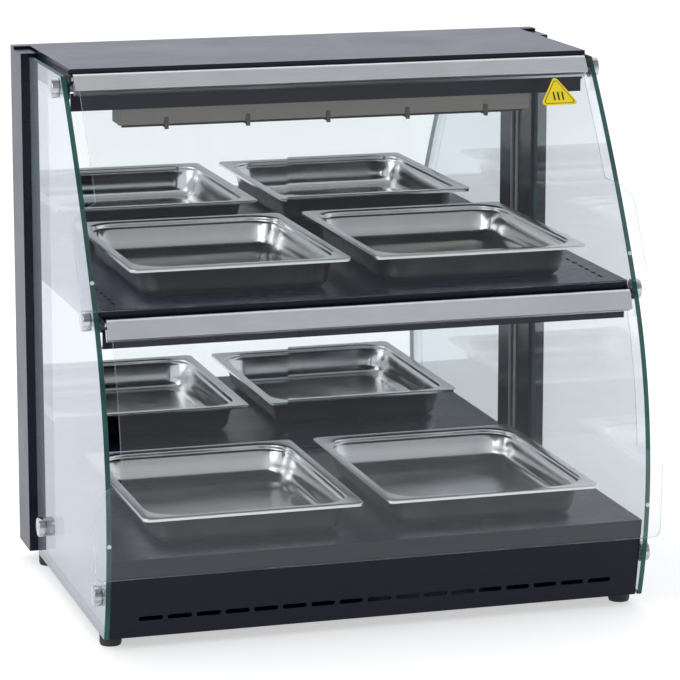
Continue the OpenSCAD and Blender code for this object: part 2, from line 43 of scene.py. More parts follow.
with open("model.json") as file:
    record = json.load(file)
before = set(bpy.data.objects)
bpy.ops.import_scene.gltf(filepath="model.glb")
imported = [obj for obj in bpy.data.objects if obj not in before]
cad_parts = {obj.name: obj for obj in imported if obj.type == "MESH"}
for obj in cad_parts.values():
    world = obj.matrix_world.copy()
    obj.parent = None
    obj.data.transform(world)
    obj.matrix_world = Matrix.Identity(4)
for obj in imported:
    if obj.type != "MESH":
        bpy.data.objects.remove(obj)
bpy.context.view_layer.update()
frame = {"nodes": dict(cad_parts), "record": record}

GLASS_LOW, GLASS_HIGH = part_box("right_side_glass")
PAN_LOW, PAN_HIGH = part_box("lower_right_pan")
KNOB_LOW, KNOB_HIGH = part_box("thermostat_knob")
PANEL_LOW, PANEL_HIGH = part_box("rear_panel")
DECK_LOW, DECK_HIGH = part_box("deck_plate")
SHELF_LOW, SHELF_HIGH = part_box("shelf_panel")
FRONT = DECK_LOW.y                      # front edge of the deck


# ---- sizes and colours ----

class GlassSizes(bpy.types.PropertyGroup):
    """Shape of the front curve and of the panes that follow it."""
    curve_radius: bpy.props.FloatProperty(
        name="Lower radius", description="Radius of the front curve up to the mid shelf",
        default=0.510, unit="LENGTH")
    curve_depth: bpy.props.FloatProperty(
        name="Centre depth", description="Distance of that curve's centre behind the deck's front edge",
        default=0.503, unit="LENGTH")
    curve_height: bpy.props.FloatProperty(
        name="Centre height", description="Height of that curve's centre", default=0.161, unit="LENGTH")
    upper_radius: bpy.props.FloatProperty(
        name="Upper radius", description="Radius of the flatter curve above the mid shelf",
        default=1.600, unit="LENGTH")
    flap_gap: bpy.props.FloatProperty(
        name="Flap gap", description="Distance of the flap glass in front of the side glasses",
        default=0.001, unit="LENGTH")
    flap_thickness: bpy.props.FloatProperty(
        name="Flap thickness", description="Thickness of the flap glass", default=0.005, unit="LENGTH")
    neck_width: bpy.props.FloatProperty(
        name="Neck width", description="Width of the narrow upper part of a flap",
        default=0.624, unit="LENGTH")
    ear_height: bpy.props.FloatProperty(
        name="Ear height", description="Height of the wide lower part of a flap",
        default=0.112, unit="LENGTH")
    corner: bpy.props.FloatProperty(
        name="Corner radius", description="Radius of a flap's lower corners", default=0.008, unit="LENGTH")
    arris: bpy.props.FloatProperty(
        name="Arris", description="Width of the ground arris on the glass edges",
        default=0.0007, unit="LENGTH")


class PanSizes(bpy.types.PropertyGroup):
    """Shape of the pressed pans."""
    width: bpy.props.FloatProperty(
        name="Width", description="Width across the rim", default=PAN_HIGH.x - PAN_LOW.x, unit="LENGTH")
    length: bpy.props.FloatProperty(
        name="Length", description="Length across the rim", default=PAN_HIGH.y - PAN_LOW.y, unit="LENGTH")
    depth: bpy.props.FloatProperty(
        name="Depth", description="Height of a pan", default=PAN_HIGH.z - PAN_LOW.z, unit="LENGTH")
    rim: bpy.props.FloatProperty(
        name="Rim", description="Width of the flat rim", default=0.0115, unit="LENGTH")
    rim_corner: bpy.props.FloatProperty(
        name="Rim corner", description="Radius of the rim's outer corners", default=0.009, unit="LENGTH")
    corner: bpy.props.FloatProperty(
        name="Inner corner", description="Radius of the opening's corners", default=0.038, unit="LENGTH")
    bend: bpy.props.FloatProperty(
        name="Floor bend", description="Radius between the walls and the floor", default=0.014,
        unit="LENGTH")
    draft: bpy.props.FloatProperty(
        name="Draft", description="How far the walls lean in from top to bottom",
        default=0.0048, unit="LENGTH")
    sheet: bpy.props.FloatProperty(
        name="Sheet", description="Thickness of the steel", default=0.0008, unit="LENGTH")


class TrimSizes(bpy.types.PropertyGroup):
    """Sizes of the caps, the dial marks and the caution mark."""
    cap_diameter: bpy.props.FloatProperty(
        name="Cap diameter", description="Diameter of a glass fixing cap", default=0.024, unit="LENGTH")
    cap_height: bpy.props.FloatProperty(
        name="Cap height", description="Height of a glass fixing cap", default=0.010, unit="LENGTH")
    dial_radius: bpy.props.FloatProperty(
        name="Dial radius", description="Radius of the ring of marks round the knob",
        default=0.0245, unit="LENGTH")
    dial_marks: bpy.props.IntProperty(
        name="Dial marks", description="Number of marks round the knob", default=11, min=2)
    mark_side: bpy.props.FloatProperty(
        name="Caution mark side", description="Side of the three-cornered mark on the upper flap",
        default=0.050, unit="LENGTH")


class Finishes(bpy.types.PropertyGroup):
    """Main colours of the case."""
    paint: bpy.props.FloatVectorProperty(
        name="Paint", description="Colour of the powder coat", subtype="COLOR",
        default=(0.0042, 0.0050, 0.0130))
    glass_edge: bpy.props.FloatVectorProperty(
        name="Glass edge", description="Colour of the ground glass edges", subtype="COLOR",
        default=(0.006, 0.046, 0.038))
    # Pale and mostly see-through: the flaps' green glass edges with a painted glint, a pale colour standing
    # in for the light lines that the polished edges catch.
    flap_edge: bpy.props.FloatVectorProperty(
        name="Flap edge", description="Colour of the polished flap edges", subtype="COLOR",
        default=(0.42, 0.55, 0.53))
    glass_tint: bpy.props.FloatVectorProperty(
        name="Flap tint", description="What one surface of the flap glass lets through",
        subtype="COLOR", default=(0.96, 0.968, 0.97))
    side_tint: bpy.props.FloatVectorProperty(
        name="Side tint", description="What one surface of the side glass lets through",
        subtype="COLOR", default=(0.96, 0.97, 0.98))
    steel: bpy.props.FloatVectorProperty(
        name="Pan steel", description="Colour of the pans", subtype="COLOR", default=(0.72, 0.715, 0.705))
    rail: bpy.props.FloatVectorProperty(
        name="Rail metal", description="Colour of the flap rails", subtype="COLOR",
        default=(0.78, 0.79, 0.80))


# ---- node trees ----

class Wiring:
    """Adds nodes to one tree and links them."""

    def __init__(self, tree):
        self.tree = tree
        tree.nodes.clear()

    def add(self, kind, values=None, **settings):
        """A new node; a value that is a socket is linked, and any other is set."""
        node = self.tree.nodes.new(kind)
        for key, value in settings.items():
            setattr(node, key, value)
        for key, value in (values or {}).items():
            if isinstance(value, bpy.types.NodeSocket):
                self.tree.links.new(value, node.inputs[key])
            else:
                node.inputs[key].default_value = value
        return node

    def math(self, operation, a, b=0.0):
        return self.add("ShaderNodeMath", {0: a, 1: b}, operation=operation).outputs[0]


def rgba(color, gain=1.0):
    return tuple(min(1.0, c * gain) for c in color) + (1.0,)


def new_material(name):
    material = bpy.data.materials.new(name)
    material.use_nodes = True
    return material, Wiring(material.node_tree)


def finish(name, base, rough, metal=0.0, grain=900.0, stretch=(1, 1, 1), bump=0.15, height=0.0001,
           mottle=0.06, smudge=0.05, edge=0.0, fine_share=0.6, **sockets):
    """A finish with fine grain, slow changes of gloss and, if edge is set, softened edges."""
    material, w = new_material(name)
    place = w.add("ShaderNodeTexCoord").outputs["Object"]
    drawn = w.add("ShaderNodeMapping", {"Vector": place, "Scale": stretch}).outputs[0]
    fine = w.add("ShaderNodeTexNoise", {"Vector": drawn, "Scale": grain, "Detail": 3.0,
                                        "Roughness": 0.6}).outputs[0]
    slow = w.add("ShaderNodeTexNoise", {"Vector": place, "Scale": 11.0, "Detail": 4.0,
                                        "Roughness": 0.55, "Distortion": 0.6}).outputs[0]
    mixed = w.math("ADD", w.math("MULTIPLY", fine, fine_share), w.math("MULTIPLY", slow, 1 - fine_share))
    ramp = w.add("ShaderNodeValToRGB", {"Fac": mixed})
    ramp.color_ramp.elements[0].position = 0.32
    ramp.color_ramp.elements[1].position = 0.68
    ramp.color_ramp.elements[0].color = rgba(base, 1 - mottle)
    ramp.color_ramp.elements[1].color = rgba(base, 1 + mottle)
    gloss = w.add("ShaderNodeMapRange", {"Value": mixed, "From Min": 0.35, "From Max": 0.65,
                                         "To Min": max(0.0, rough - smudge), "To Max": rough + smudge})
    relief = {"Height": fine, "Strength": bump, "Distance": height}
    if edge:
        relief["Normal"] = w.add("ShaderNodeBevel", {"Radius": edge}, samples=3).outputs[0]
    normal = w.add("ShaderNodeBump", relief).outputs[0]
    shader = w.add("ShaderNodeBsdfPrincipled", {
        "Base Color": ramp.outputs[0], "Roughness": gloss.outputs[0], "Metallic": metal, "Normal": normal,
        **{key.replace("_", " "): value for key, value in sockets.items()}})
    w.add("ShaderNodeOutputMaterial", {"Surface": shader.outputs[0]})
    return material


def clear_glass(name, tint, least_gloss=0.028, veil=0.0):
    """Thin clear glass: mirrors a little, and at a low angle more, where a pale veil shows as well."""
    material, w = new_material(name)
    place = w.add("ShaderNodeTexCoord").outputs["Object"]
    smear = w.add("ShaderNodeTexNoise", {"Vector": place, "Scale": 7.0, "Detail": 3.0}).outputs[0]
    rough = w.add("ShaderNodeMapRange", {"Value": smear, "From Min": 0.3, "From Max": 0.7,
                                         "To Min": 0.0, "To Max": 0.03}).outputs[0]
    through = w.add("ShaderNodeBsdfTransparent", {"Color": rgba(tint)}).outputs[0]
    shine = w.add("ShaderNodeBsdfGlossy", {"Color": (0.95, 0.97, 1.0, 1.0), "Roughness": rough}).outputs[0]
    slant = w.add("ShaderNodeLayerWeight", {"Blend": 0.5}).outputs["Facing"]
    if veil:
        pale = w.add("ShaderNodeBsdfDiffuse", {"Color": (0.56, 0.58, 0.68, 1.0)}).outputs[0]
        amount = w.math("MULTIPLY", w.math("POWER", slant, 3.0), veil)
        through = w.add("ShaderNodeMixShader", {0: amount, 1: through, 2: pale}).outputs[0]
    share = w.math("ADD", w.math("MULTIPLY", w.math("POWER", slant, 5.0), 1 - least_gloss), least_gloss)
    mix = w.add("ShaderNodeMixShader", {0: share, 1: through, 2: shine}).outputs[0]
    w.add("ShaderNodeOutputMaterial", {"Surface": mix})
    return material


def glass_edge(name, color, solid_share=0.9, passed=(0.30, 0.62, 0.56)):
    """Ground edge of a pane, a little darker and lighter along its length."""
    material, w = new_material(name)
    place = w.add("ShaderNodeTexCoord").outputs["Object"]
    streak = w.add("ShaderNodeTexNoise", {"Vector": place, "Scale": 26.0, "Detail": 3.0}).outputs[0]
    ramp = w.add("ShaderNodeValToRGB", {"Fac": streak})
    ramp.color_ramp.elements[0].position = 0.3
    ramp.color_ramp.elements[1].position = 0.75
    ramp.color_ramp.elements[0].color = rgba(color, 0.6)
    ramp.color_ramp.elements[1].color = rgba(color, 1.9)
    solid = w.add("ShaderNodeBsdfPrincipled", {
        "Base Color": ramp.outputs[0], "Roughness": 0.3, "Specular IOR Level": 0.25}).outputs[0]
    through = w.add("ShaderNodeBsdfTransparent", {"Color": rgba(passed)}).outputs[0]
    mix = w.add("ShaderNodeMixShader", {0: solid_share, 1: through, 2: solid}).outputs[0]
    w.add("ShaderNodeOutputMaterial", {"Surface": mix})
    return material


def silvered_glass(name, edge_color):
    """Mirror on a door's front face, grey backing paint behind it and green glass on its edges."""
    material, w = new_material(name)
    coords = w.add("ShaderNodeTexCoord")
    facing = w.add("ShaderNodeSeparateXYZ", {0: coords.outputs["Normal"]}).outputs["Y"]
    broad = w.math("GREATER_THAN", w.math("ABSOLUTE", facing), 0.5)
    behind = w.math("GREATER_THAN", facing, 0.5)
    haze = w.add("ShaderNodeTexNoise", {"Vector": coords.outputs["Object"], "Scale": 9.0, "Detail": 3.0})
    ramp = w.add("ShaderNodeValToRGB", {"Fac": haze.outputs[0]})
    ramp.color_ramp.elements[0].color = (0.91, 0.94, 0.94, 1.0)
    ramp.color_ramp.elements[1].color = (0.95, 0.97, 0.97, 1.0)
    mirror = w.add("ShaderNodeBsdfPrincipled", {
        "Base Color": ramp.outputs[0], "Metallic": 1.0, "Roughness": 0.015}).outputs[0]
    grey = w.add("ShaderNodeValToRGB", {"Fac": haze.outputs[0]})
    grey.color_ramp.elements[0].color = (0.085, 0.090, 0.098, 1.0)
    grey.color_ramp.elements[1].color = (0.115, 0.120, 0.128, 1.0)
    backing = w.add("ShaderNodeBsdfPrincipled", {
        "Base Color": grey.outputs[0], "Roughness": 0.34, "Specular IOR Level": 0.35}).outputs[0]
    edge = w.add("ShaderNodeBsdfPrincipled", {
        "Base Color": rgba(edge_color, 1.6), "Roughness": 0.2}).outputs[0]
    faces = w.add("ShaderNodeMixShader", {0: behind, 1: mirror, 2: backing}).outputs[0]
    mix = w.add("ShaderNodeMixShader", {0: broad, 1: edge, 2: faces}).outputs[0]
    w.add("ShaderNodeOutputMaterial", {"Surface": mix})
    return material


def build_finishes(colors):
    """One material for each finish, by the record's name for it, and a few that only new pieces use."""
    brushed = {"metal": 1.0, "grain": 42.0, "stretch": (1, 70, 70), "bump": 0.25, "height": 0.00008}
    made = {
        "anthracite_paint": finish(
            "Anthracite powder coat", colors.paint, 0.28, grain=1500.0, bump=0.1, height=0.00004,
            edge=0.0007, Specular_IOR_Level=0.2, Sheen_Weight=0.06, Sheen_Roughness=0.4,
            Sheen_Tint=(0.2, 0.25, 1.0, 1.0)),
        "brushed_aluminium": finish(
            "Brushed rail aluminium", colors.rail, 0.36, mottle=0.08, edge=0.0005, **brushed),
        "stainless_steel": finish(
            "Pressed pan steel", colors.steel, 0.19, metal=1.0, bump=0.0, mottle=0.04, smudge=0.05,
            fine_share=0.0),
        "aluminised_steel": finish("Aluminised sheet", (0.18, 0.18, 0.18), 0.42, metal=1.0, bump=0.3),
        "lamp_steel": finish(
            "Lamp housing steel", (0.20, 0.19, 0.175), 0.42, mottle=0.12, edge=0.0006, **brushed),
        "zinc_steel": finish("Zinc plating", (0.62, 0.63, 0.64), 0.28, metal=1.0, mottle=0.12, bump=0.2),
        "heater_sheath": finish("Heat-darkened sheath", (0.22, 0.18, 0.15), 0.5, metal=1.0, mottle=0.3),
        "chrome": finish("Polished chrome", (0.44, 0.45, 0.47), 0.10, metal=1.0, grain=5.0,
                         stretch=(1, 60, 60), bump=0.02, mottle=0.42, smudge=0.05, fine_share=0.9),
        "track_aluminium": finish(
            "Dark anodised track", (0.09, 0.095, 0.11), 0.4, mottle=0.08, edge=0.0004, **brushed),
        "clear_glass": clear_glass("Clear flap glass", colors.glass_tint),
        "side_glass": clear_glass("Clear side glass", colors.side_tint, veil=0.4),
        "mirror": silvered_glass("Silvered door glass", colors.glass_edge),
        "quartz": finish("Frosted quartz tube", (0.86, 0.84, 0.80), 0.22, grain=300.0, bump=0.05,
                         Transmission_Weight=0.35, Coat_Weight=0.4),
        "amber_lens": finish("Amber lens", (0.90, 0.28, 0.02), 0.16, grain=260.0, bump=0.1,
                             Coat_Weight=0.5),
        "black_plastic": finish("Black moulded plastic", (0.012, 0.012, 0.013), 0.46, grain=1100.0,
                                bump=0.3, mottle=0.15, edge=0.0005),
        "ivory_plastic": finish("Ivory moulded plastic", (0.78, 0.72, 0.56), 0.45, grain=800.0),
        "phenolic": finish("Phenolic moulding", (0.36, 0.26, 0.15), 0.5, grain=500.0, mottle=0.2),
        "wire_jacket": finish("Silicone sleeving", (0.34, 0.03, 0.02), 0.5, grain=700.0, mottle=0.12),
        "foot_rubber": finish("Moulded foot rubber", (0.012, 0.012, 0.012), 0.62, grain=700.0, bump=0.35,
                              mottle=0.2),
        "pale_seal": finish("Pale silicone seal", (0.80, 0.80, 0.77), 0.4, grain=500.0,
                            Subsurface_Weight=0.1),
        "heater_mat": finish("Silicone heating mat", (0.62, 0.16, 0.05), 0.55, grain=600.0, bump=0.4),
        "ceramic_white": finish("Glazed steatite", (0.88, 0.86, 0.80), 0.2, grain=220.0, mottle=0.04,
                                Coat_Weight=0.5),
        "red_rocker": finish("Red rocker plastic", (0.62, 0.02, 0.015), 0.18, grain=400.0, bump=0.05,
                             Coat_Weight=0.3),
    }
    made["glass_edge"] = glass_edge("Ground glass edge", colors.glass_edge)
    # Flap edges: green glass with a painted glint; the pale colour stands in for the light lines that the
    # polished edges catch.
    made["flap_edge"] = glass_edge("Polished flap edge", colors.flap_edge, 0.3, (0.88, 0.94, 0.93))
    made["guard_wire"] = finish("Darkened guard wire", (0.10, 0.09, 0.08), 0.45, metal=1.0, mottle=0.2)
    made["caution_yellow"] = finish("Yellow film", (0.93, 0.72, 0.01), 0.35, grain=900.0, mottle=0.03)
    made["caution_black"] = finish("Black print", (0.015, 0.015, 0.015), 0.4, grain=900.0)
    made["dial_white"] = finish("White dial print", (0.82, 0.82, 0.82), 0.45, grain=900.0)
    return made


FINISH = {}
OTHER_FINISH = {"lamp_guard": "guard_wire"}    # nodes whose look differs from their slot's


# ---- meshes ----

def new_piece(name, mesh, finish_key, body, stands_for=()):
    """Links a finished mesh and ties it to its body, its finish and the nodes that it stands for."""
    piece = bpy.data.objects.new(name, mesh)
    bpy.context.scene.collection.objects.link(piece)
    if not mesh.materials:
        mesh.materials.append(FINISH[finish_key])
    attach(piece, body)
    if stands_for:
        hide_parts(*stands_for)
    return piece


def baked(draft):
    """The evaluated mesh of an object, which is then removed."""
    bpy.context.view_layer.update()
    mesh = bpy.data.meshes.new_from_object(draft.evaluated_get(bpy.context.evaluated_depsgraph_get()))
    mesh.name = draft.name
    bpy.data.objects.remove(draft)
    return mesh


def draft_object(name, mesh):
    draft = bpy.data.objects.new(name, mesh)
    bpy.context.scene.collection.objects.link(draft)
    return draft


def add_bevel(draft, width, material):
    bevel = draft.modifiers.new("Arris", "BEVEL")
    bevel.width = width
    bevel.segments = 2
    bevel.limit_method = "ANGLE"
    bevel.angle_limit = math.radians(50)
    bevel.material = material


def smooth(mesh, angle=35):
    mesh.shade_smooth()
    mesh.set_sharp_from_angle(angle=math.radians(angle))
    return mesh


def bridged(rings):
    """A closed mesh through rings of points, each ring as long as the next."""
    bm = bmesh.new()
    rows = [[bm.verts.new(p) for p in ring] for ring in rings]
    count = len(rows[0])
    for below, above in zip(rows, rows[1:]):
        for i in range(count):
            j = (i + 1) % count
            bm.faces.new((below[i], below[j], above[j], above[i]))
    bm.faces.new(list(reversed(rows[0])))
    bm.faces.new(rows[-1])
    bmesh.ops.recalc_face_normals(bm, faces=bm.faces)
    mesh = bpy.data.meshes.new("rings")
    bm.to_mesh(mesh)
    bm.free()
    return mesh


def turned(profile, sides=40):
    """A closed turned mesh about Z through (radius, height) points, both ends on the axis' plane."""
    rings = [[(r * math.cos(2 * math.pi * i / sides), r * math.sin(2 * math.pi * i / sides), z)
              for i in range(sides)] for r, z in profile]
    return bridged(rings)


def front_line(sizes, z, off=0.0):
    """Depth of the front curve at height z, moved outwards by off."""
    centre = FRONT + sizes.curve_depth
    join = math.sqrt(sizes.curve_radius ** 2 - (SHELF_HIGH.z - sizes.curve_height) ** 2)
    ratio = sizes.upper_radius / sizes.curve_radius
    if z <= SHELF_HIGH.z:
        return centre - math.sqrt((sizes.curve_radius + off) ** 2 - (z - sizes.curve_height) ** 2)
    upper_depth = centre - join + join * ratio
    upper_height = SHELF_HIGH.z - (SHELF_HIGH.z - sizes.curve_height) * ratio
    return upper_depth - math.sqrt((sizes.upper_radius + off) ** 2 - (z - upper_height) ** 2)


def scatter_tree(name, material):
    """A tree that puts one item on each point, turned as its aim says, and gives it its finish."""
    tree = bpy.data.node_groups.new(name, "GeometryNodeTree")
    w = Wiring(tree)
    tree.interface.new_socket("Points", in_out="INPUT", socket_type="NodeSocketGeometry")
    tree.interface.new_socket("Item", in_out="INPUT", socket_type="NodeSocketObject")
    size = tree.interface.new_socket("Item Size", in_out="INPUT", socket_type="NodeSocketFloat")
    size.default_value = 1.0
    tree.interface.new_socket("Pieces", in_out="OUTPUT", socket_type="NodeSocketGeometry")
    source = w.add("NodeGroupInput").outputs
    item = w.add("GeometryNodeObjectInfo", {"Object": source["Item"]}).outputs["Geometry"]
    aim = w.add("GeometryNodeInputNamedAttribute", {"Name": "aim"}, data_type="FLOAT_VECTOR").outputs[0]
    turn = w.add("FunctionNodeEulerToRotation", {0: aim}).outputs[0]
    placed = w.add("GeometryNodeInstanceOnPoints", {
        "Points": source["Points"], "Instance": item, "Rotation": turn, "Scale": source["Item Size"]})
    real = w.add("GeometryNodeRealizeInstances", {0: placed.outputs[0]}).outputs[0]
    painted = w.add("GeometryNodeSetMaterial", {"Geometry": real, "Material": material}).outputs[0]
    w.add("NodeGroupOutput", {0: painted})
    return tree


def set_inputs(modifier, values):
    """Sets a node modifier's inputs, each by its socket's identifier."""
    for item in modifier.node_group.interface.items_tree:
        if item.item_type == "SOCKET" and item.in_out == "INPUT" and item.name in values:
            modifier[item.identifier] = values[item.name]


def scattered(name, item_mesh, places, material, size=1.0):
    """The plain mesh of an item repeated at places, each a (position, euler) pair."""
    mesh = bpy.data.meshes.new(name)
    mesh.from_pydata([p for p, _ in places], [], [])
    aim = mesh.attributes.new("aim", "FLOAT_VECTOR", "POINT")
    aim.data.foreach_set("vector", [c for _, e in places for c in e])
    item = draft_object(name + "_item", item_mesh)
    draft = draft_object(name, mesh)
    modifier = draft.modifiers.new("Repeat", "NODES")
    modifier.node_group = scatter_tree(name + " repeat", material)
    set_inputs(modifier, {"Item": item, "Item Size": size})
    result = baked(draft)
    bpy.data.objects.remove(item)
    return result


def pane_tree(name, outline, material):
    """A tree that bends a flat grid into a curved pane; outline holds (height share, width share)."""
    tree = bpy.data.node_groups.new(name, "GeometryNodeTree")
    w = Wiring(tree)
    tree.interface.new_socket("Geometry", in_out="INPUT", socket_type="NodeSocketGeometry")
    tree.interface.new_socket("Rows", in_out="INPUT", socket_type="NodeSocketInt")
    for label in ("Radius", "Centre Depth", "Centre Height", "Bottom Height", "Top Height", "Half Width"):
        tree.interface.new_socket(label, in_out="INPUT", socket_type="NodeSocketFloat")
    tree.interface.new_socket("Pane", in_out="OUTPUT", socket_type="NodeSocketGeometry")
    source = w.add("NodeGroupInput").outputs
    grid = w.add("GeometryNodeMeshGrid", {"Size X": 2.0, "Size Y": 1.0, "Vertices X": 2,
                                          "Vertices Y": source["Rows"]}).outputs[0]
    place = w.add("ShaderNodeSeparateXYZ", {0: w.add("GeometryNodeInputPosition").outputs[0]}).outputs
    share = w.math("ADD", place["Y"], 0.5)
    rise = w.math("SUBTRACT", source["Top Height"], source["Bottom Height"])
    height = w.math("ADD", source["Bottom Height"], w.math("MULTIPLY", share, rise))
    above = w.math("SUBTRACT", height, source["Centre Height"])
    reach = w.math("SQRT", w.math("SUBTRACT", w.math("POWER", source["Radius"], 2.0),
                                  w.math("POWER", above, 2.0)))
    depth = w.math("SUBTRACT", source["Centre Depth"], reach)
    curve = w.add("ShaderNodeFloatCurve", {"Value": share})
    points = curve.mapping.curves[0].points
    while len(points) < len(outline):
        points.new(0.5, 0.5)
    for point, (along, width) in zip(points, outline):
        point.location = (along, width)
        point.handle_type = "VECTOR"
    curve.mapping.update()
    side = w.math("MULTIPLY", place["X"], w.math("MULTIPLY", source["Half Width"], curve.outputs[0]))
    spot = w.add("ShaderNodeCombineXYZ", {0: side, 1: depth, 2: height}).outputs[0]
    moved = w.add("GeometryNodeSetPosition", {"Geometry": grid, "Position": spot}).outputs[0]
    real = w.add("GeometryNodeRealizeInstances", {0: moved}).outputs[0]
    painted = w.add("GeometryNodeSetMaterial", {"Geometry": real, "Material": material}).outputs[0]
    w.add("NodeGroupOutput", {0: painted})
    return tree


# ---- operators ----

class CASE_OT_finishes(bpy.types.Operator):
    """Makes the finishes and gives every carried-over piece its own"""
    bl_idname = "case.finishes"
    bl_label = "Finishes"

    def execute(self, context):
        FINISH.update(build_finishes(context.scene.case_finishes))
        for part in frame["record"]["subparts"]:
            mesh = frame["nodes"][part["node"]].data
            mesh.materials.clear()
            mesh.materials.append(FINISH[OTHER_FINISH.get(part["node"], part["material_slot"])])
        return {"FINISHED"}


class CASE_OT_side_panes(bpy.types.Operator):
    """Cuts the two side glasses along the front curve, with ground green edges"""
    bl_idname = "case.side_panes"
    bl_label = "Side glasses"

    def execute(self, context):
        sizes = context.scene.case_glass
        rows = 64
        low, high = GLASS_LOW.z, GLASS_HIGH.z
        heights = [low + (high - low) * i / rows for i in range(rows + 1)]
        outline = [(front_line(sizes, z), z) for z in heights]
        outline += [(GLASS_HIGH.y, high), (GLASS_HIGH.y, low)]
        for side, name in ((1, "right"), (-1, "left")):
            near, far = sorted((side * GLASS_LOW.x, side * GLASS_HIGH.x))
            draft = draft_object("pane", bridged([[(x, y, z) for y, z in outline] for x in (near, far)]))
            draft.data.materials.append(FINISH["side_glass"])
            draft.data.materials.append(FINISH["glass_edge"])
            for face in draft.data.polygons:
                face.material_index = 0 if abs(face.normal.x) > 0.5 else 1
            add_bevel(draft, sizes.arris, 1)
            new_piece(f"{name}_side_pane", smooth(baked(draft), 15), "side_glass",
                      "root", (f"{name}_side_glass",))
        return {"FINISHED"}


EAR_SHOULDER = 0.020  # height over which an ear narrows, below its top
EAR_TIP_DROP = 0.004  # half the height of an ear's last step in to the neck
EAR_TIP_INSET = 0.013
FLAP_FOOT_GAP = 0.0005
FLAP_HEAD_GAP = 0.003


class CASE_OT_flap_panes(bpy.types.Operator):
    """Bends the two flap glasses, each with its two ears"""
    bl_idname = "case.flap_panes"
    bl_label = "Flap glasses"

    def outline(self, sizes, low, high, half):
        """Half width at each height, as shares of the pane's height and of its widest half width."""
        ear_top = low + sizes.ear_height
        neck = sizes.neck_width / 2
        steps = [(low + sizes.corner * (1 - math.cos(a)), half - sizes.corner * (1 - math.sin(a)))
                 for a in [math.pi / 2 * i / 8 for i in range(9)]]
        steps += [(ear_top - EAR_SHOULDER, half), (ear_top - EAR_TIP_DROP, half - EAR_TIP_INSET),
                  (ear_top + EAR_TIP_DROP, neck), (high, neck)]
        return [((z - low) / (high - low), width / half) for z, width in steps]

    def execute(self, context):
        sizes = context.scene.case_glass
        join = math.sqrt(sizes.curve_radius ** 2 - (SHELF_HIGH.z - sizes.curve_height) ** 2)
        ratio = sizes.upper_radius / sizes.curve_radius
        centre = FRONT + sizes.curve_depth
        curves = {
            "lower": (sizes.curve_radius, centre, sizes.curve_height),
            "upper": (sizes.upper_radius, centre - join + join * ratio,
                      SHELF_HIGH.z - (SHELF_HIGH.z - sizes.curve_height) * ratio)}
        for tier, (radius, depth, height) in curves.items():
            low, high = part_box(f"{tier}_flap_glass")
            draft = draft_object("pane", bpy.data.meshes.new("pane"))
            bend = draft.modifiers.new("Bend", "NODES")
            bend.node_group = pane_tree(f"{tier} pane", self.outline(sizes, low.z, high.z, high.x),
                                        FINISH["clear_glass"])
            set_inputs(bend, {
                "Rows": 240, "Radius": radius + sizes.flap_gap + sizes.flap_thickness / 2,
                "Centre Depth": depth, "Centre Height": height, "Bottom Height": low.z + FLAP_FOOT_GAP,
                "Top Height": high.z - FLAP_HEAD_GAP, "Half Width": high.x})
            sheet = draft_object("sheet", baked(draft))
            sheet.data.materials.append(FINISH["flap_edge"])
            thick = sheet.modifiers.new("Thickness", "SOLIDIFY")
            thick.thickness = sizes.flap_thickness
            thick.offset = 0.0
            thick.use_even_offset = True
            thick.material_offset_rim = 1
            add_bevel(sheet, sizes.arris, 1)
            new_piece(f"{tier}_flap_pane", smooth(baked(sheet), 15), "clear_glass",
                      f"{tier}_flap", (f"{tier}_flap_glass",))
        return {"FINISHED"}


class CASE_OT_pans(bpy.types.Operator):
    """Presses the four pans: flat rims, a stacking step, leaning walls and rounded floors"""
    bl_idname = "case.pans"
    bl_label = "Pans"

    def ring(self, centre, sizes, inset, z, steps=8):
        """A rounded rectangle inset from the rim's edge; past the rim its corners are the opening's."""
        on_rim = inset < 0.0025
        radius = sizes.rim_corner - inset if on_rim else sizes.corner - (inset - sizes.rim)
        across, along = sizes.width / 2 - inset - radius, sizes.length / 2 - inset - radius
        points = []
        for corner, (sx, sy) in enumerate(((1, 1), (-1, 1), (-1, -1), (1, -1))):
            for i in range(steps + 1):
                a = math.pi / 2 * (corner + i / steps)
                points.append((centre.x + sx * across + radius * math.cos(a),
                               centre.y + sy * along + radius * math.sin(a), z))
        return points

    def arc(self, inset, z, radius, start, end, steps):
        """(inset, height) points round a bend; angles in degrees, 0 towards the pan's middle."""
        angles = [math.radians(start + (end - start) * i / steps) for i in range(steps + 1)]
        return [(inset + radius * math.cos(a), z + radius * math.sin(a)) for a in angles]

    def profile(self, sizes):
        """(inset, height) from the inner floor over the rim to the outer floor."""
        top, t, rim, bend = sizes.depth, sizes.sheet, sizes.rim, sizes.bend
        wall = rim + 0.0012
        low_wall = wall + sizes.draft
        inner = self.arc(low_wall + t + bend, t + bend, bend, 270, 180, 6)
        inner += [(wall + t + 0.0008, top - 0.0090), (wall + t, top - 0.0078),
                  (wall - 0.0004, top - 0.0066), (wall - 0.0006, top - 0.0052)]
        inner += self.arc(wall - 0.0036, top - 0.0030, 0.0030, 0, 90, 4)
        lip = [(0.0018, top)] + self.arc(0.0014, top - 0.0014, 0.0014, 90, 180, 4)
        lip += [(0.0, top - 0.0040), (t, top - 0.0040), (t, top - 0.0016), (0.0018, top - t)]
        outer = [(rim - 0.0026, top - t), (wall - 0.0014, top - 0.0030), (wall - 0.0008, top - 0.0070),
                 (wall, top - 0.0084)]
        outer += self.arc(low_wall + bend, bend, bend, 180, 270, 6)
        return inner + lip + outer

    def execute(self, context):
        sizes = context.scene.case_pans
        for name in ("upper_left_pan", "upper_right_pan", "lower_left_pan", "lower_right_pan"):
            low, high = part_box(name)
            centre = (low + high) / 2
            rings = [self.ring(centre, sizes, inset, low.z + z) for inset, z in self.profile(sizes)]
            new_piece(name.replace("_pan", "_pressed_pan"), smooth(bridged(rings), 40),
                      "stainless_steel", name, (name,))
        return {"FINISHED"}


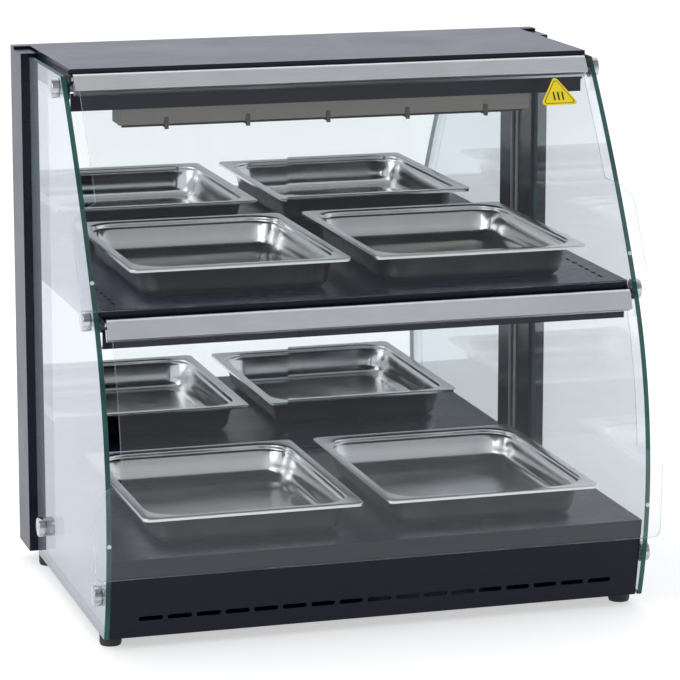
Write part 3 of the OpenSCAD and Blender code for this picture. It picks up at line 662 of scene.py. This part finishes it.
# Shares of a cap's radius and height, from its base to the middle of its face.
CAP_BANDS = [(1, 0), (1, 0.05), (0.95, 0.08), (0.95, 0.16), (1, 0.19), (1, 0.90), (0.965, 0.97),
             (0.90, 1.0), (0.02, 1.0)]
CAP_COUNT = 8
BOLT_REACH = 0.012  # corners of a bolt's end lie within this of one another


class CASE_OT_fixing_caps(bpy.types.Operator):
    """Turns the banded chrome caps and puts one on each glass fixing"""
    bl_idname = "case.fixing_caps"
    bl_label = "Fixing caps"

    def execute(self, context):
        sizes = context.scene.case_trim
        r, h = sizes.cap_diameter / 2, sizes.cap_height
        item = smooth(turned([(a * r, b * h) for a, b in CAP_BANDS]), 40)
        source = frame["nodes"]["glass_bolts"].data
        ends = sorted({(round(v.co.y, 4), round(v.co.z, 4)) for v in source.vertices
                       if abs(v.co.x - GLASS_HIGH.x) < 1e-5})
        centres = []
        for y, z in ends:
            near = [c for c in centres if math.hypot(c[0] - y, c[1] - z) < BOLT_REACH]
            if near:
                near[0][2].append((y, z))
            else:
                centres.append((y, z, [(y, z)]))
        places = []
        for _, _, group in centres:
            y = (min(p[0] for p in group) + max(p[0] for p in group)) / 2
            z = (min(p[1] for p in group) + max(p[1] for p in group)) / 2
            for side in (1, -1):
                places.append(((side * GLASS_HIGH.x, y, z), (0.0, side * math.pi / 2, 0.0)))
        if len(places) != CAP_COUNT:
            raise RuntimeError(f"{len(places)} glass fixings were found, and there are {CAP_COUNT}")
        mesh = scattered("fixing_caps", item, places, FINISH["chrome"])
        new_piece("banded_fixing_caps", mesh, "chrome", "root", ("glass_caps",))
        return {"FINISHED"}


DIAL_SWEEP = 270  # degrees from the first mark to the last
MARK_HALF_WIDTH, MARK_HALF_LENGTH, MARK_RISE = 0.0005, 0.0022, 0.0002


class CASE_OT_dial_marks(bpy.types.Operator):
    """Prints the ring of marks round the thermostat knob"""
    bl_idname = "case.dial_marks"
    bl_label = "Dial marks"

    def execute(self, context):
        sizes = context.scene.case_trim
        centre = (KNOB_LOW + KNOB_HIGH) / 2
        places = []
        for i in range(sizes.dial_marks):
            a = math.radians(-DIAL_SWEEP / 2 + DIAL_SWEEP * i / (sizes.dial_marks - 1))
            places.append(((centre.x + sizes.dial_radius * math.sin(a), PANEL_HIGH.y,
                            centre.z + sizes.dial_radius * math.cos(a)), (0.0, a, 0.0)))
        w, rise = MARK_HALF_WIDTH, MARK_RISE
        bar = [[(x, y, z) for x, y in ((-w, 0.0), (w, 0.0), (w, rise), (-w, rise))]
               for z in (-MARK_HALF_LENGTH, MARK_HALF_LENGTH)]
        mesh = scattered("dial_marks", bridged(bar), places, FINISH["dial_white"])
        new_piece("dial_marks", mesh, "dial_white", "root")
        return {"FINISHED"}


MARK_PLACE = (0.273, 0.6025)  # x and height of the mark's middle
MARK_SQUASH = 0.8  # the pane leans, so the mark is lower than it is long
PRINT_LIFTS = (0.0003, 0.0004)  # back and face of the print, above the glass


class CASE_OT_caution_mark(bpy.types.Operator):
    """Lays the plain yellow three-cornered mark on the upper flap"""
    bl_idname = "case.caution_mark"
    bl_label = "Caution mark"

    def corners(self, side, radius):
        """A rounded triangle, point up, about its middle."""
        tall = side * 0.82
        points = []
        for corner, (x, z) in enumerate(((0, tall * 2 / 3), (-side / 2, -tall / 3), (side / 2, -tall / 3))):
            inward = Vector((-x, -z)).normalized() * radius * 2
            for i in range(7):
                a = math.radians(30 + 120 * corner + 120 * i / 6)
                points.append((x + inward.x + radius * math.cos(a), z + inward.y + radius * math.sin(a)))
        return points

    def on_pane(self, glass, x, z, lift):
        """The point at x and height z, lifted off the flap's outer face."""
        return x, front_line(glass, z, glass.flap_gap + glass.flap_thickness + lift), z

    def plate(self, glass, points, lift, thick, middle):
        """A thin plate with this outline, its back lifted off the flap."""
        return bridged([[self.on_pane(glass, middle[0] + x, middle[1] + z * MARK_SQUASH, depth)
                         for x, z in points] for depth in (lift, lift + thick)])

    def execute(self, context):
        glass, side = context.scene.case_glass, context.scene.case_trim.mark_side
        middle = MARK_PLACE
        film = self.plate(glass, self.corners(side, 0.004), 0.0001, 0.0002, middle)
        new_piece("caution_film", film, "caution_yellow", "upper_flap")
        rim = [self.corners(side - 0.008, 0.003), self.corners(side - 0.0104, 0.0026)]
        bm = bmesh.new()
        levels = []
        for depth in PRINT_LIFTS:
            for points in rim:
                levels.append([bm.verts.new(self.on_pane(
                    glass, middle[0] + x, middle[1] + z * MARK_SQUASH, depth)) for x, z in points])
        for a, b in ((0, 1), (1, 3), (3, 2), (2, 0)):
            for i in range(len(levels[0])):
                j = (i + 1) % len(levels[0])
                bm.faces.new((levels[a][i], levels[a][j], levels[b][j], levels[b][i]))
        for x in (-0.0055, 0.0, 0.0055):
            ring = []
            for depth in PRINT_LIFTS:
                ring.append([bm.verts.new(self.on_pane(
                    glass, middle[0] + x + dx, middle[1] + dz - 0.001, depth))
                    for dx, dz in ((-0.001, -0.0045), (0.001, -0.0045), (0.001, 0.0045), (-0.001, 0.0045))])
            for i in range(4):
                j = (i + 1) % 4
                bm.faces.new((ring[0][i], ring[0][j], ring[1][j], ring[1][i]))
            bm.faces.new(ring[1])
            bm.faces.new(list(reversed(ring[0])))
        bmesh.ops.recalc_face_normals(bm, faces=bm.faces)
        mesh = bpy.data.meshes.new("caution_print")
        bm.to_mesh(mesh)
        bm.free()
        new_piece("caution_print", mesh, "caution_black", "upper_flap")
        return {"FINISHED"}


CAMERA_PLACE = (-1.1005, -3.7660, 1.1426)
CAMERA_AZIMUTH, CAMERA_ELEVATION = -16.52, 11.20  # degrees
CAMERA_LENS, CAMERA_SHIFT = 174.0, -0.0735
FLOOR_HALF = 30


class CASE_OT_stage(bpy.types.Operator):
    """Sets the pale floor, the soft light and the camera"""
    bl_idname = "case.stage"
    bl_label = "Stage"

    def execute(self, context):
        scene = context.scene
        mesh = bpy.data.meshes.new("floor")
        r = FLOOR_HALF
        mesh.from_pydata([(-r, -r, 0), (r, -r, 0), (r, r, 0), (-r, r, 0)], [], [(0, 1, 2, 3)])
        floor = draft_object("floor", mesh)
        material, w = new_material("Pale floor")
        place = w.add("ShaderNodeTexCoord").outputs["Object"]
        cloud = w.add("ShaderNodeTexNoise", {"Vector": place, "Scale": 3.0}).outputs[0]
        ramp = w.add("ShaderNodeValToRGB", {"Fac": cloud})
        ramp.color_ramp.elements[0].color = (0.74, 0.74, 0.73, 1)
        ramp.color_ramp.elements[1].color = (0.76, 0.76, 0.75, 1)
        lit = w.add("ShaderNodeBsdfDiffuse", {"Color": ramp.outputs[0]}).outputs[0]
        glow = w.add("ShaderNodeEmission", {"Color": (1.0, 1.0, 1.0, 1.0), "Strength": 0.53}).outputs[0]
        w.add("ShaderNodeOutputMaterial", {
            "Surface": w.add("ShaderNodeAddShader", {0: lit, 1: glow}).outputs[0]})
        mesh.materials.append(material)

        scene.world = scene.world or bpy.data.worlds.new("Studio")
        scene.world.use_nodes = True
        w = Wiring(scene.world.node_tree)
        way = w.add("ShaderNodeTexCoord").outputs["Generated"]
        toward = w.add("ShaderNodeVectorMath", {0: way, 1: (0.15, -0.62, 0.77)}, operation="DOT_PRODUCT")
        dim = w.add("ShaderNodeMapRange", {"Value": toward.outputs["Value"], "From Min": 0.35,
                                           "From Max": 0.95, "To Min": 1.0, "To Max": 0.45},
                    interpolation_type="SMOOTHSTEP")
        sky = w.add("ShaderNodeBackground", {"Color": (0.92, 0.95, 1.0, 1.0),
                                             "Strength": w.math("MULTIPLY", dim.outputs[0], 1.05)})
        w.add("ShaderNodeOutputWorld", {"Surface": sky.outputs[0]})

        for name, spot, size, power in (("overhead", (0.3, 1.7, 3.0), 3.4, 16.0),
                                        ("left_soft", (-2.4, -1.0, 1.6), 1.6, 14.0)):
            lamp = bpy.data.lights.new(name, "AREA")
            lamp.size = size
            lamp.energy = power
            holder = bpy.data.objects.new(name, lamp)
            scene.collection.objects.link(holder)
            holder.location = spot
            aim = Vector((0, 0, 0.3)) - Vector(spot)
            holder.rotation_euler = aim.to_track_quat("-Z", "Y").to_euler()

        camera = bpy.data.cameras.new("camera")
        camera.lens = CAMERA_LENS
        camera.sensor_width = 36.0
        camera.shift_y = CAMERA_SHIFT
        camera.clip_start, camera.clip_end = 0.05, 100.0
        holder = bpy.data.objects.new("camera", camera)
        scene.collection.objects.link(holder)
        azimuth, elevation = math.radians(CAMERA_AZIMUTH), math.radians(CAMERA_ELEVATION)
        holder.location = CAMERA_PLACE
        away = Vector((math.sin(azimuth) * math.cos(elevation), -math.cos(azimuth) * math.cos(elevation),
                       math.sin(elevation)))
        holder.rotation_euler = (-away).to_track_quat("-Z", "Y").to_euler()
        scene.camera = holder
        scene.view_settings.view_transform = "Standard"
        return {"FINISHED"}


class CASE_PT_panel(bpy.types.Panel):
    """Lists the steps that build the display case"""
    bl_idname = "CASE_PT_panel"
    bl_label = "Display Case"
    bl_space_type = "VIEW_3D"
    bl_region_type = "UI"
    bl_category = "Display Case"

    def draw(self, context):
        for step in STEPS:
            self.layout.operator(step.bl_idname)
        for group in ("case_glass", "case_pans", "case_trim", "case_finishes"):
            settings = getattr(context.scene, group)
            box = self.layout.box()
            for name in settings.__annotations__:
                box.prop(settings, name)


GROUPS = {"case_glass": GlassSizes, "case_pans": PanSizes, "case_trim": TrimSizes,
          "case_finishes": Finishes}
STEPS = (CASE_OT_finishes, CASE_OT_side_panes, CASE_OT_flap_panes, CASE_OT_pans, CASE_OT_fixing_caps,
         CASE_OT_dial_marks, CASE_OT_caution_mark, CASE_OT_stage)


def register():
    for group in (*GROUPS.values(), *STEPS, CASE_PT_panel):
        bpy.utils.register_class(group)
    for name, group in GROUPS.items():
        setattr(bpy.types.Scene, name, bpy.props.PointerProperty(type=group))


def unregister():
    for name in GROUPS:
        delattr(bpy.types.Scene, name)
    for group in reversed((*GROUPS.values(), *STEPS, CASE_PT_panel)):
        bpy.utils.unregister_class(group)


def main():
    register()
    bpy.ops.case.finishes()
    bpy.ops.case.side_panes()
    bpy.ops.case.flap_panes()
    bpy.ops.case.pans()
    bpy.ops.case.fixing_caps()
    bpy.ops.case.dial_marks()
    bpy.ops.case.caution_mark()
    bpy.ops.case.stage()


if __name__ == "__main__":
    main()
